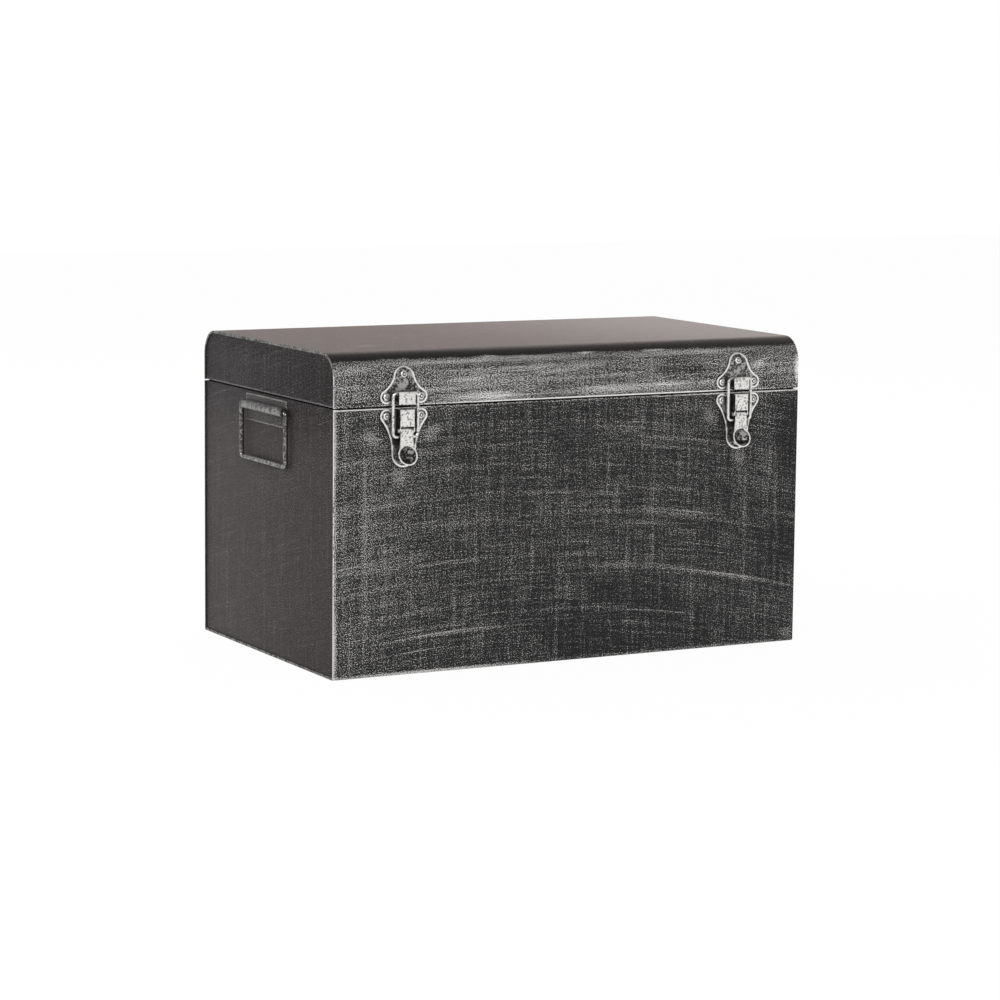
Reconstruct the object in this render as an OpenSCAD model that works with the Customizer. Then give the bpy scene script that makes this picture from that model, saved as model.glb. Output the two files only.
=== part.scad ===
// Small tin trunk of sheet steel: a riveted lid on two butt hinges, two draw latches
// on the front and a swinging wire handle on each end.
// Front is -Y, up is +Z, the origin is the middle of the base. All sizes in mm.

/* [Trunk] */
// Length, left to right
trunk_w = 500; // [440:5:700]
// Depth, front to back
trunk_d = 300; // [240:5:420]
// Height of the body up to the seam
body_h = 250; // [200:5:400]
// Height of the lid above the seam
lid_h = 50; // [46:1:90]
// Outer radius of the lid's front and back roundings
lid_round_r = 24; // [16:1:26]
// Gap between the body and the closed lid
seam_gap = 1.2; // [0.6:0.1:1.6]

/* [Sheet] */
// Thickness of the sheet
sheet_t = 1; // [0.8:0.1:1.2]
// Depth of the folded hems along the seam
hem_h = 4.5; // [3:0.5:5]
// Width of the rim that each end panel sits behind
rim_w = 2.4; // [1.6:0.1:3.5]
// Outer radius of the bends along the bottom edges
bottom_bend_r = 2.5; // [2:0.1:4]
// Width of the welding flange inside each end panel
flange_w = 8; // [5:0.5:12]
// Height of the inner collar above the body's edge
collar_rise = 9; // [6:0.5:12]
// Clearance between the collar and the lid
collar_gap = 0.8; // [0.6:0.1:1.2]

/* [Hinges] */
// Distance of each hinge's middle from the trunk's end
hinge_inset = 85; // [60:5:120]
// Length of a hinge
hinge_w = 40; // [30:1:60]
// Height of each leaf from the hinge line
leaf_h = 22; // [18:1:26]
// Thickness of the leaves
leaf_t = 1.2; // [1:0.1:1.4]
// Outer radius of the knuckles
knuckle_r = 3; // [2.8:0.1:3.5]
// Radius of the hinge pin
hinge_pin_r = 1.3; // [1:0.1:1.6]
// Number of knuckles in a hinge
knuckles = 5; // [3:2:7]
// Distance between the two rivets of a leaf
leaf_rivet_gap = 24; // [16:1:28]

/* [Latches] */
// Distance of each latch from the trunk's end
latch_inset = 70; // [50:5:120]
// Thickness of the latch plates
plate_t = 1.2; // [1:0.1:1.4]
// Spacing of the two rivets beside the seam
lobe_gap = 35.2; // [34:0.2:40]
// Height of the lid plate's lower rivets above the seam
keeper_rivet_z = 9.3; // [9:0.1:11]
// Height of the lid plate's top rivet above the seam
keeper_top_rivet_z = 29.8; // [28:0.1:31]
// Distance of the lid plate's top edge below the trunk's top
keeper_top_gap = 12.5; // [11:0.1:14]
// Radius of the lid plate's top lobe
keeper_top_r = 10.8; // [9:0.1:12]
// Radius of the lid plate's hollow flanks
keeper_flank_r = 22; // [18:0.5:40]
// Depth of the body plate's upper rivets below the seam
base_rivet_z = 8.2; // [8:0.1:10]
// Depth of the body plate's bottom rivet below the seam
base_low_rivet_z = 49; // [48:0.1:50]
// Distance of the body plate's bottom lobe's middle above its rivet
base_low_rise = 5.4; // [4:0.1:6]
// Radius of the body plate's bottom lobe
base_low_r = 12.3; // [11:0.1:13]
// Radius of the body plate's hollow flanks
base_flank_r = 46; // [40:1:80]
// Radius of the lobes round the paired rivets
lobe_r = 6.5; // [6:0.1:7]
// Width of the hook
hook_w = 16.8; // [14:0.1:18]
// Height of the hook's lower edge above the seam
hook_low_z = 2.2; // [1.8:0.1:3]
// Height of the hook's lip above the seam
hook_lip_z = 14; // [13:0.1:14.5]
// Gap between the loop's bar and the hook's face
hook_slack = 1.3; // [1:0.1:1.6]
// Depth of the housing's top below the seam
housing_top_z = 1.7; // [1.5:0.1:2.5]
// Depth of the lower edge of the housing's face below the seam
housing_low_z = 17.9; // [15:0.1:18.2]
// Outer radius of the housing's bends
housing_bend_r = 1.6; // [1.3:0.1:2.4]
// Width of the wire loop, centre to centre of its legs
loop_w = 25; // [24:0.1:27]
// Radius of the loop's wire
loop_wire_r = 1.5; // [1.3:0.1:1.6]
// Bend radius of the loop's corners
loop_bend_r = 3.5; // [3:0.1:4]
// Height of the loop's top bar above the seam
loop_top_z = 12.7; // [12.5:0.1:13]
// Depth of the lever's pin below the seam
lever_pin_z = 21.4; // [21:0.1:22]
// Distance of the lever's pin from the wall
lever_pin_out = 5.3; // [5.2:0.1:5.5]
// Radius of the lever's pin
lever_pin_r = 1.2; // [1:0.1:1.4]
// Distance of the loop's ends below the lever's pin
loop_arm = 6; // [5.8:0.1:6.4]
// Distance that the loop's ends sit nearer the wall than the lever's pin
over_centre = 1; // [0.8:0.1:1.2]
// Width of the lever's neck
neck_w = 13; // [12:0.1:14]
// Width of the neck where it flares into the scoop
neck_low_w = 14.4; // [13:0.1:15]
// Width of the thumb scoop over its rim
scoop_w = 19.4; // [16:0.1:20]
// Depth of the scoop's hollow
scoop_depth = 5; // [3.5:0.1:5.5]
// Depth of the scoop's middle below the seam
scoop_z = 43.9; // [43:0.1:45]
// Slope of the scoop's rim against the wall
scoop_tilt = 20; // [10:1:30]

/* [Handles] */
// Length of the wire handle, centre to centre of its legs
bail_w = 102; // [90:1:120]
// Drop of the handle from its hinge line to its grip
bail_drop = 50.7; // [44:0.1:60]
// Radius of the handle's wire
bail_wire_r = 2.35; // [2:0.05:3]
// Bend radius of the handle's upper corners
bail_bend_r = 3.4; // [3:0.1:5]
// Bend radius of the handle's lower corners
bail_grip_bend_r = 4.5; // [3.5:0.1:8]
// Depth of the handle's hinge line below the seam
bail_z = 13.3; // [12:0.1:20]
// Outer radius of the strap's rolled barrel
roll_r = 4.3; // [4:0.1:5]
// Gap between the barrel's ends and the handle's legs
roll_end_gap = 1.3; // [0.8:0.1:2]
// Thickness of the strap's flat leaves
strap_t = 1.5; // [1:0.1:2]
// Reach of the strap above the handle's hinge line
strap_up = 10.6; // [8:0.1:11.5]
// Reach of the strap below the handle's hinge line
strap_down = 15.2; // [10:0.1:20]

/* [Fasteners] */
// Radius of the rivet shanks
shank_r = 1.5; // [1.2:0.1:1.7]
// Radius of the rivet heads
head_r = 2.9; // [2.6:0.1:3.2]
// Height of the rivet heads
head_h = 1.2; // [1:0.1:1.4]
// Radius of the ring pressed into the rivet heads
ring_r = 1.5; // [1.2:0.1:1.8]
// Height of the heads on the hinge and lever pins
pin_head_h = 0.7; // [0.5:0.1:1]
// Radial clearance of pins and wires in their bores
pin_fit = 0.05; // [0.03:0.01:0.08]
// Running clearance between neighbouring moving pieces
run_gap = 0.3; // [0.2:0.05:0.4]

/* [Hidden] */
$fn = 64;
LEFT = -1;
RIGHT = 1;
fuse = 0.2;
body_top = body_h - seam_gap / 2;
lid_bottom = body_h + seam_gap / 2;
trunk_h = body_h + lid_h;
front = -trunk_d / 2;
back = trunk_d / 2;
panel_x = trunk_w / 2 - sheet_t;
inner_w = trunk_w - 6 * sheet_t;
inner_d = trunk_d - 4 * sheet_t;
hinge_x = trunk_w / 2 - hinge_inset;
hinge_y = back + run_gap + knuckle_r;
knuckle_w = (hinge_w - (knuckles - 1) * run_gap) / knuckles;
leaf_rivet_z = (leaf_h + knuckle_r) / 2;
neck_face = lever_pin_out + lever_pin_r + pin_fit + plate_t;
latch_x = trunk_w / 2 - latch_inset;
scoop_ball_r = (pow(scoop_w / 2, 2) + pow(scoop_depth + plate_t, 2)) / (2 * (scoop_depth + plate_t));
scoop_ball_z = scoop_ball_r - scoop_depth - plate_t;
scoop_rim_r = sqrt(pow(scoop_ball_r - plate_t, 2) - pow(scoop_ball_z, 2));
scoop_out = neck_face - plate_t / 2 + (scoop_w / 2 + scoop_rim_r) / 2 * sin(scoop_tilt);
neck_low = -scoop_z + scoop_rim_r / 2;
eye_r = lever_pin_r + pin_fit + plate_t;
cheek_in = neck_w / 2 + run_gap;
block_w = 2 * (cheek_in + plate_t);
block_face = neck_face + plate_t;
loop_out = lever_pin_out - over_centre;
loop_h = loop_top_z + lever_pin_z + loop_arm;
hook_seat = loop_top_z - loop_wire_r - run_gap;
hook_in = loop_out + loop_wire_r + hook_slack;
roll_w = bail_w - 2 * (bail_wire_r + roll_end_gap);
round_start = lid_h - lid_round_r;
tail_lift = lid_round_r - sheet_t - sqrt(pow(lid_round_r - sheet_t, 2) - pow(head_r, 2)) + pin_fit;
base_rivets_at = [[-lobe_gap / 2, -base_rivet_z], [lobe_gap / 2, -base_rivet_z], [0, -base_low_rivet_z]];
keeper_rivets_at = [[-lobe_gap / 2, keeper_rivet_z], [lobe_gap / 2, keeper_rivet_z]];

// A flat shape drawn in (Y, Z), extruded along X about the middle
module along_x(length) {
    translate([-length / 2, 0, 0]) rotate([90, 0, 90]) linear_extrude(length) children();
}

// A flat shape drawn in (X, Z), extruded towards the front from the wall's face
module off_wall(depth) {
    rotate([90, 0, 0]) linear_extrude(depth) children();
}

// A round bar along X about the middle
module bar_x(r, length) {
    rotate([0, 90, 0]) cylinder(r = r, h = length, center = true);
}

// Outline of the trunk seen from the end, with two rounded lower corners
module tray(d, h, r) {
    translate([-d / 2, r]) square([d, h - r]);
    translate([-d / 2 + r, 0]) square([d - 2 * r, h]);
    for (s = [LEFT, RIGHT]) translate([s * (d / 2 - r), r]) circle(r);
}

// Wall of the wrap seen from the end, open at the top, with an inside hem on both edges
module wrap_section(h, r) {
    difference() {
        tray(trunk_d, h - sheet_t, r);
        translate([0, sheet_t]) tray(trunk_d - 2 * sheet_t, h, r - sheet_t);
    }
    for (s = [LEFT, RIGHT]) translate([s * (trunk_d / 2 - sheet_t), 0]) hem_section(h);
}

// Hem: the sheet's edge folded flat against its inside, with a round fold
module hem_section(h) {
    translate([-sheet_t, h - hem_h]) square([2 * sheet_t, hem_h - sheet_t]);
    translate([0, h - sheet_t]) circle(sheet_t);
}

// Front, bottom and back of a box bent from one sheet, with a turned-in rim at each end
module wrap(h, r) {
    along_x(inner_w) wrap_section(h, r);
    for (s = [LEFT, RIGHT]) {
        translate([s * (trunk_w + inner_w) / 4, 0, 0]) along_x((trunk_w - inner_w) / 2) difference() {
            tray(trunk_d, h, r);
            translate([0, sheet_t]) tray(trunk_d - 2 * sheet_t, h, r - sheet_t);
        }
        translate([s * (trunk_w - sheet_t) / 2, 0, 0]) along_x(sheet_t) difference() {
            tray(trunk_d, h, r);
            translate([0, rim_w]) tray(trunk_d - 2 * rim_w, h, max(r - rim_w, 0.1));
        }
    }
}

// Flat end panel with a hem along the seam and a flange spot-welded inside the wrap
module end_panel(h, r) {
    inner_r = r - sheet_t;
    translate([panel_x - sheet_t / 2, 0, sheet_t]) along_x(sheet_t)
        tray(trunk_d - 2 * sheet_t, h - 2 * sheet_t, inner_r);
    translate([panel_x - sheet_t, 0, 0]) rotate([90, 0, 0])
        linear_extrude(trunk_d - 2 * sheet_t, center = true) hem_section(h);
    translate([panel_x - flange_w / 2, 0, sheet_t]) along_x(flange_w) difference() {
        tray(trunk_d - 2 * sheet_t, h - hem_h - 2 * sheet_t, inner_r);
        translate([0, sheet_t]) tray(trunk_d - 4 * sheet_t, h, max(inner_r - sheet_t, 0.1));
    }
}

// The lid is the same box upside down
module as_lid() {
    translate([0, 0, trunk_h]) mirror([0, 0, 1]) children();
}

// Holes for the rivets through the front wall and its plates
module latch_holes(zs) {
    for (s = [LEFT, RIGHT], p = zs) translate([s * latch_x + p[0], front, body_h + p[1]])
        rotate([90, 0, 0]) cylinder(r = shank_r + pin_fit, h = 8 * sheet_t, center = true);
}

// Holes for the rivets of one leaf row of the hinges
module leaf_holes(z) {
    for (s = [LEFT, RIGHT], e = [LEFT, RIGHT])
        translate([s * hinge_x + e * leaf_rivet_gap / 2, back, body_h + z])
            rotate([90, 0, 0]) cylinder(r = shank_r + pin_fit, h = 8 * sheet_t, center = true);
}

// Angle up the lid's front rounding of a point at height z above the seam
function arc_angle(z) = asin(max(0, min(1, (z - round_start) / lid_round_r)));

// Moves a piece from the seam out to the lid's face at height z, square to the surface
module on_lid_face(z) {
    translate([0, lid_round_r, min(z, round_start)]) rotate([-arc_angle(z), 0, 0])
        translate([0, -lid_round_r, 0]) children();
}

module top_rivet_hole() {
    for (s = [LEFT, RIGHT]) translate([s * latch_x, front, body_h]) on_lid_face(keeper_top_rivet_z)
        rotate([90, 0, 0]) cylinder(r = shank_r + pin_fit, h = 8 * sheet_t, center = true);
}

module body_wrap() {
    color("#3b3a3a") difference() {
        wrap(body_top, bottom_bend_r);
        latch_holes(base_rivets_at);
        leaf_holes(-leaf_rivet_z);
    }
}

module body_end(side) {
    color("#4a4544") mirror([side == LEFT ? 1 : 0, 0, 0]) end_panel(body_top, bottom_bend_r);
}

// Frame of strip welded inside the body's hem and stepped in above it: it guides the lid down
module body_collar() {
    step_z = body_top - 2 * sheet_t;
    stepped_in = collar_gap + sheet_t;
    color("#2f2e2e") {
        collar_ring(body_top - hem_h, hem_h - sheet_t, 0, sheet_t);
        collar_ring(step_z, sheet_t, 0, stepped_in);
        collar_ring(step_z, 2 * sheet_t + collar_rise, collar_gap, stepped_in);
    }
}

// One band of the collar, between two insets from the inside of the hems
module collar_ring(z, h, outer, inner) {
    translate([0, 0, z]) linear_extrude(h) difference() {
        square([inner_w - 2 * outer, inner_d - 2 * outer], center = true);
        square([inner_w - 2 * inner, inner_d - 2 * inner], center = true);
    }
}

module lid_wrap() {
    color("#3b3a3a") difference() {
        as_lid() wrap(trunk_h - lid_bottom, lid_round_r);
        latch_holes(keeper_rivets_at);
        top_rivet_hole();
        leaf_holes(leaf_rivet_z);
    }
}

module lid_end(side) {
    color("#4a4544") mirror([side == LEFT ? 1 : 0, 0, 0]) as_lid()
        end_panel(trunk_h - lid_bottom, lid_round_r);
}

// One hinge leaf hanging from the hinge line, with its share of the knuckles
module hinge_leaf(first) {
    mine = [for (i = [0:knuckles - 1]) if (i % 2 == first) i];
    plate_top = knuckle_r + run_gap;
    difference() {
        union() {
            translate([-hinge_w / 2, back, -leaf_h]) cube([hinge_w, leaf_t, leaf_h - plate_top]);
            for (i = mine) translate([(i + 0.5) * (knuckle_w + run_gap) - (hinge_w + run_gap) / 2, 0, 0]) {
                translate([-knuckle_w / 2, back, -plate_top - fuse])
                    cube([knuckle_w, leaf_t, plate_top + fuse]);
                translate([0, hinge_y, 0]) bar_x(knuckle_r, knuckle_w);
            }
        }
        translate([0, hinge_y, 0]) bar_x(hinge_pin_r + pin_fit, hinge_w + 1);
        for (e = [LEFT, RIGHT]) translate([e * leaf_rivet_gap / 2, back, -leaf_rivet_z])
            rotate([90, 0, 0]) cylinder(r = shank_r + pin_fit, h = 8 * sheet_t, center = true);
    }
}

module hinge_body_leaf(side) {
    color("#454241") translate([side * hinge_x, 0, body_h]) hinge_leaf(0);
}

module hinge_lid_leaf(side) {
    color("#454241") translate([side * hinge_x, 0, body_h]) mirror([0, 0, 1]) hinge_leaf(1);
}

module hinge_pin(side) {
    color("#8d8a86") translate([side * hinge_x, hinge_y, body_h])
        headed_pin(hinge_pin_r, 0.75 * knuckle_r, hinge_w);
}

// Pin along X with a small flat head at each end of its run
module headed_pin(r, top_r, run) {
    bar_x(r, run + fuse);
    for (e = [LEFT, RIGHT]) translate([e * (run + pin_head_h) / 2, 0, 0]) bar_x(top_r, pin_head_h);
}

// Rivet along Z: its domed head has a pressed ring and stands on z = 0, and its shank goes
// down through the grip to a flat tail
module rivet(grip) {
    ball_r = (head_r * head_r + head_h * head_h) / (2 * head_h);
    ring_z = head_h - ball_r + sqrt(ball_r * ball_r - ring_r * ring_r);
    difference() {
        intersection() {
            translate([0, 0, head_h - ball_r]) sphere(ball_r);
            cylinder(r = head_r, h = head_h);
        }
        rotate_extrude() translate([ring_r, ring_z]) circle(head_h / 3);
    }
    translate([0, 0, -grip - fuse]) cylinder(r = shank_r, h = grip + 2 * fuse);
    translate([0, 0, -grip - sheet_t]) cylinder(r = head_r, h = sheet_t);
}

module hinge_rivets(z) {
    for (s = [LEFT, RIGHT], e = [LEFT, RIGHT])
        translate([s * hinge_x + e * leaf_rivet_gap / 2, back + leaf_t, body_h + z])
            rotate([-90, 0, 0]) rivet(leaf_t + sheet_t);
}

module hinge_body_rivets() {
    color("#b9b6b0") hinge_rivets(-leaf_rivet_z);
}

module hinge_lid_rivets() {
    color("#b9b6b0") hinge_rivets(leaf_rivet_z);
}

module at_latch(side) {
    translate([side * latch_x, front, body_h]) children();
}

// Middle of a circle of radius r that touches the circles at a and b from outside, to the right
function touching(a, a_r, b, b_r, r) =
    let (d = b - a, run = norm(d), to_a = r + a_r, to_b = r + b_r)
    let (along = (to_a * to_a - to_b * to_b + run * run) / (2 * run))
    a + (along * d + sqrt(to_a * to_a - along * along) * [d[1], -d[0]]) / run;

// Outline of a latch plate above the seam: two lobes, hollow flanks and a round end
module plate_outline(lobe_z, end_z, end_r, flank_r) {
    lobe = [lobe_gap / 2, lobe_z];
    flank = touching(lobe, lobe_r, [0, end_z], end_r, flank_r);
    on_lobe = lobe + (flank - lobe) * lobe_r / (flank_r + lobe_r);
    on_end = [0, end_z] + (flank - [0, end_z]) * end_r / (flank_r + end_r);
    translate([0, end_z]) circle(end_r);
    for (s = [0, 1]) mirror([s, 0]) {
        translate(lobe) circle(lobe_r);
        difference() {
            polygon([[-fuse, lobe_z - 0.8 * lobe_r], [lobe[0], lobe_z - 0.8 * lobe_r], lobe,
                on_lobe, on_end, [-fuse, end_z]]);
            translate(flank) circle(flank_r);
        }
    }
}

module keeper_outline() {
    plate_outline(keeper_rivet_z, lid_h - keeper_top_gap - keeper_top_r, keeper_top_r, keeper_flank_r);
}

// Lid plate: follows the flat front and bends back over the rounding
module keeper_plate() {
    intersection() {
        translate([0, lid_round_r, 0]) off_wall(lid_round_r + plate_t) keeper_outline();
        union() {
            translate([-lobe_gap, -plate_t, 0]) cube([2 * lobe_gap, plate_t, round_start]);
            translate([0, lid_round_r, round_start]) difference() {
                bar_x(lid_round_r + plate_t, 2 * lobe_gap);
                bar_x(lid_round_r, 3 * lobe_gap);
                translate([-lobe_gap, -2 * lid_round_r, -3 * lid_round_r])
                    cube([2 * lobe_gap, 4 * lid_round_r, 3 * lid_round_r]);
            }
        }
    }
}

// Hook: the plate's tongue turned out, up and back to make the seat of the loop's bar
module hook() {
    hook_out = hook_in + plate_t;
    along_x(hook_w) difference() {
        union() {
            translate([-hook_out + sheet_t, hook_low_z])
                square([hook_out - sheet_t, hook_seat - hook_low_z]);
            translate([-hook_out, hook_low_z + sheet_t])
                square([plate_t, hook_lip_z - hook_low_z - sheet_t]);
            translate([-hook_out + sheet_t, hook_low_z + sheet_t]) circle(sheet_t);
        }
        translate([-hook_in, hook_low_z + plate_t])
            square([hook_in - plate_t, hook_seat - hook_low_z - 2 * plate_t]);
    }
}

module latch_keeper(side) {
    color("#55524f") at_latch(side) difference() {
        union() {
            keeper_plate();
            hook();
        }
        for (p = keeper_rivets_at) translate([p[0], 0, p[1]])
            rotate([90, 0, 0]) cylinder(r = shank_r + pin_fit, h = 4 * plate_t, center = true);
        on_lid_face(keeper_top_rivet_z)
            rotate([90, 0, 0]) cylinder(r = shank_r + pin_fit, h = 4 * plate_t, center = true);
    }
}

module keeper_rivets(side) {
    color("#b9b6b0") at_latch(side) {
        for (p = keeper_rivets_at) translate([p[0], -plate_t, p[1]])
            rotate([90, 0, 0]) rivet(plate_t + sheet_t);
        on_lid_face(keeper_top_rivet_z)
            translate([0, -plate_t, 0]) rotate([90, 0, 0]) rivet(plate_t + sheet_t + tail_lift);
    }
}

module base_outline() {
    mirror([0, 1]) plate_outline(base_rivet_z, base_low_rivet_z - base_low_rise, base_low_r, base_flank_r);
}

// Pressed housing over the lever's eye, whose cheeks carry the lever's pin
module housing() {
    low = -lever_pin_z - 2 * eye_r;
    difference() {
        intersection() {
            along_x(block_w) housing_section();
            translate([0, 0, low]) linear_extrude(-low) rounded_block(block_w, block_face);
        }
        translate([-cheek_in, -block_face + plate_t, low]) cube([2 * cheek_in, block_face, -low]);
        translate([-cheek_in, -2 * block_face, low])
            cube([2 * cheek_in, 2 * block_face, -housing_low_z - low]);
    }
}

// The housing from the side: a face, a bend at its top and cheeks down round the pin
module housing_section() {
    translate([-block_face, -housing_low_z])
        square([block_face, housing_low_z - housing_top_z - housing_bend_r]);
    translate([-block_face + housing_bend_r, -housing_low_z])
        square([block_face - housing_bend_r, housing_low_z - housing_top_z]);
    translate([-block_face + housing_bend_r, -housing_top_z - housing_bend_r]) circle(housing_bend_r);
    polygon([[-block_face, -housing_low_z], [0, -housing_low_z], [0, -lever_pin_z + sheet_t],
        [-lever_pin_out, -lever_pin_z], [-lever_pin_out - eye_r, -lever_pin_z]]);
    translate([-lever_pin_out, -lever_pin_z]) circle(eye_r);
}

// The housing from above: a block whose two front corners are bends
module rounded_block(w, d) {
    translate([-w / 2, -d + housing_bend_r]) square([w, d - housing_bend_r]);
    translate([-w / 2 + housing_bend_r, -d]) square([w - 2 * housing_bend_r, d]);
    for (s = [LEFT, RIGHT]) translate([s * (w / 2 - housing_bend_r), -d + housing_bend_r])
        circle(housing_bend_r);
}

module latch_base(side) {
    color("#55524f") at_latch(side) difference() {
        union() {
            off_wall(plate_t) base_outline();
            housing();
        }
        for (p = base_rivets_at) translate([p[0], 0, p[1]])
            rotate([90, 0, 0]) cylinder(r = shank_r + pin_fit, h = 4 * plate_t, center = true);
        translate([0, -lever_pin_out, -lever_pin_z]) bar_x(lever_pin_r + pin_fit, 2 * block_w);
    }
}

module base_rivets(side) {
    color("#b9b6b0") at_latch(side) for (p = base_rivets_at)
        translate([p[0], -plate_t, p[1]]) rotate([90, 0, 0]) rivet(plate_t + sheet_t);
}

// Pin through both cheeks and the lever's eye
module lever_pin(side) {
    color("#b9b6b0") at_latch(side) translate([0, -lever_pin_out, -lever_pin_z])
        headed_pin(lever_pin_r, 1.6 * lever_pin_r, block_w);
}

// Lever: a rolled eye round the pin, a channel neck whose flanges carry the loop's ends,
// and a dished scoop for the thumb
module latch_lever(side) {
    color("#a9a6a0") at_latch(side) difference() {
        union() {
            translate([0, -lever_pin_out, -lever_pin_z]) bar_x(eye_r, neck_w);
            lever_neck();
            at_scoop() difference() {
                translate([0, 0, scoop_ball_z]) sphere(scoop_ball_r);
                translate([0, 0, scoop_w]) cube(2 * scoop_w, center = true);
            }
        }
        at_scoop() translate([0, 0, scoop_ball_z]) sphere(scoop_ball_r - plate_t);
        translate([0, -lever_pin_out, -lever_pin_z]) bar_x(lever_pin_r + pin_fit, 2 * neck_w);
        translate([0, -loop_out, -lever_pin_z - loop_arm]) bar_x(loop_wire_r + pin_fit, 2 * neck_w);
    }
}

// The scoop's own frame: its rim lies in z = 0 and its hollow opens along +Z
module at_scoop() {
    translate([0, -scoop_out, -scoop_z]) rotate([90 - scoop_tilt, 0, 0]) children();
}

module lever_neck() {
    flare_z = -lever_pin_z - loop_arm - loop_wire_r - plate_t;
    translate([0, -neck_face + plate_t, 0]) off_wall(plate_t) polygon([
        [-neck_w / 2, -lever_pin_z], [neck_w / 2, -lever_pin_z], [neck_w / 2, flare_z],
        [neck_low_w / 2, neck_low], [-neck_low_w / 2, neck_low], [-neck_w / 2, flare_z]
    ]);
    for (e = [LEFT, RIGHT]) translate([e * (neck_w - plate_t) / 2, 0, 0]) {
        along_x(plate_t) polygon([[-neck_face, -lever_pin_z], [-lever_pin_out, -lever_pin_z],
            [-loop_out + loop_wire_r, -lever_pin_z - loop_arm], [-loop_out, flare_z],
            [-neck_face, neck_low]]);
        translate([0, -loop_out, -lever_pin_z - loop_arm]) bar_x(loop_wire_r + plate_t, plate_t);
    }
}

// A quarter bend of round wire in the XZ plane, centred on its bend
module quarter_bend(bend_r, wire_r) {
    rotate([90, 0, 0]) rotate_extrude(angle = 90) translate([bend_r, 0]) circle(wire_r);
}

// Rectangle of round wire in the XZ plane, hanging from its top bar at z = 0;
// the bottom bar may be left open in the middle
module wire_ring(w, h, wire_r, top_r, low_r, opening = 0) {
    bar_x(wire_r, w - 2 * top_r);
    for (s = [0, 1]) mirror([s, 0, 0]) {
        translate([w / 2 - top_r, 0, -top_r]) quarter_bend(top_r, wire_r);
        translate([w / 2, 0, -h + low_r]) cylinder(r = wire_r, h = h - top_r - low_r);
        translate([w / 2 - low_r, 0, -h + low_r]) rotate([0, 90, 0]) quarter_bend(low_r, wire_r);
        if (opening > 0) translate([(w / 2 - low_r + opening / 2) / 2, 0, -h])
            bar_x(wire_r, w / 2 - low_r - opening / 2);
    }
    if (opening == 0) translate([0, 0, -h]) bar_x(wire_r, w - 2 * low_r);
}

// Wire loop of the latch: its turned-in ends sit in the lever's flanges
module latch_loop(side) {
    color("#b9b6b0") at_latch(side) translate([0, -loop_out, loop_top_z])
        wire_ring(loop_w, loop_h, loop_wire_r, loop_bend_r, loop_bend_r,
            neck_w - 2 * plate_t - 4 * run_gap);
}

module at_end(side) {
    mirror([side == LEFT ? 1 : 0, 0, 0]) translate([panel_x, 0, body_h - bail_z]) children();
}

// Handle strap: two flat leaves welded to the end, with a barrel rolled between them
module handle_strap(side) {
    leaf_w = roll_w - 2 * sheet_t;
    color("#8a8784") at_end(side) difference() {
        union() {
            translate([0, -leaf_w / 2, -strap_down]) cube([strap_t, leaf_w, strap_down + strap_up]);
            translate([roll_r, 0, 0]) rotate([90, 0, 0]) cylinder(r = roll_r, h = roll_w, center = true);
        }
        translate([roll_r, 0, 0]) rotate([90, 0, 0])
            cylinder(r = bail_wire_r + pin_fit, h = 2 * roll_w, center = true);
    }
}

// Handle: one ring of wire whose top bar turns in the strap's barrel
module handle_bail(side) {
    color("#a09d99") at_end(side) translate([roll_r, 0, 0]) rotate([0, 0, 90])
        wire_ring(bail_w, bail_drop, bail_wire_r, bail_bend_r, bail_grip_bend_r);
}

body_wrap();
body_end(LEFT);  // body_end_left
body_end(RIGHT);  // body_end_right
body_collar();
lid_wrap();
lid_end(LEFT);  // lid_end_left
lid_end(RIGHT);  // lid_end_right
hinge_body_leaf(LEFT);  // hinge_body_leaf_left
hinge_body_leaf(RIGHT);  // hinge_body_leaf_right
hinge_lid_leaf(LEFT);  // hinge_lid_leaf_left
hinge_lid_leaf(RIGHT);  // hinge_lid_leaf_right
hinge_pin(LEFT);  // hinge_pin_left
hinge_pin(RIGHT);  // hinge_pin_right
hinge_body_rivets();
hinge_lid_rivets();
latch_keeper(LEFT);  // latch_keeper_left
latch_keeper(RIGHT);  // latch_keeper_right
keeper_rivets(LEFT);  // keeper_rivets_left
keeper_rivets(RIGHT);  // keeper_rivets_right
latch_base(LEFT);  // latch_base_left
latch_base(RIGHT);  // latch_base_right
base_rivets(LEFT);  // base_rivets_left
base_rivets(RIGHT);  // base_rivets_right
latch_lever(LEFT);  // latch_lever_left
latch_lever(RIGHT);  // latch_lever_right
lever_pin(LEFT);  // lever_pin_left
lever_pin(RIGHT);  // lever_pin_right
latch_loop(LEFT);  // latch_loop_left
latch_loop(RIGHT);  // latch_loop_right
handle_strap(LEFT);  // handle_strap_left
handle_strap(RIGHT);  // handle_strap_right
handle_bail(LEFT);  // handle_bail_left
handle_bail(RIGHT);  // handle_bail_right
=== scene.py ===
import math

import bmesh
import bpy
from mathutils import Matrix, Vector


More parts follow.
